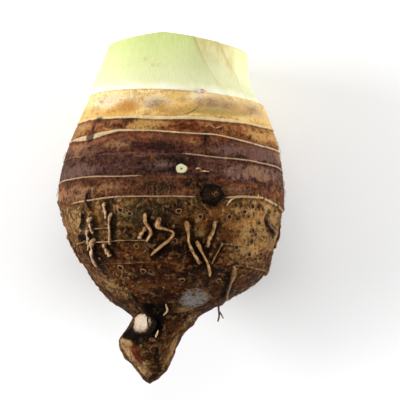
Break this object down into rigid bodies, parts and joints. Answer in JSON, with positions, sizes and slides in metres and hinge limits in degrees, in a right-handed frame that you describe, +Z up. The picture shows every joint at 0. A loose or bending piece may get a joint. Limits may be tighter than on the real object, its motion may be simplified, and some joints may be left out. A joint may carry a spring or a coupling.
{
  "type": "taro corm",
  "caption": "Taro root lying on its side: a ringed brown corm with rootlets and a crooked tail, and the cut stub of its clasping pale green leaf stalks.",
  "frame": {"origin": "middle of the bounding box's bottom, on the surface that the corm lies on", "axes": "+Z up, +Y along the growth axis towards the leaf stalks, +X to the right as the corm is seen from above"},
  "size_m": [0.1139, 0.1742, 0.1085],
  "materials": {
    "corm_skin": "matt fibrous brown skin with cream leaf scars, tan rootlets and dark patches",
    "outer_stalk": "smooth moist pale yellow-green leaf stalk, cream at its foot",
    "second_stalk": "smooth pale green leaf stalk with a thin tan margin",
    "inner_stalk": "smooth cream-green leaf stalk"
  },
  "bodies": {
    "root": {"corm": "corm_skin", "petiole_outer": "outer_stalk", "petiole_second": "second_stalk", "petiole_inner": "inner_stalk"}
  },
  "joints": []
}
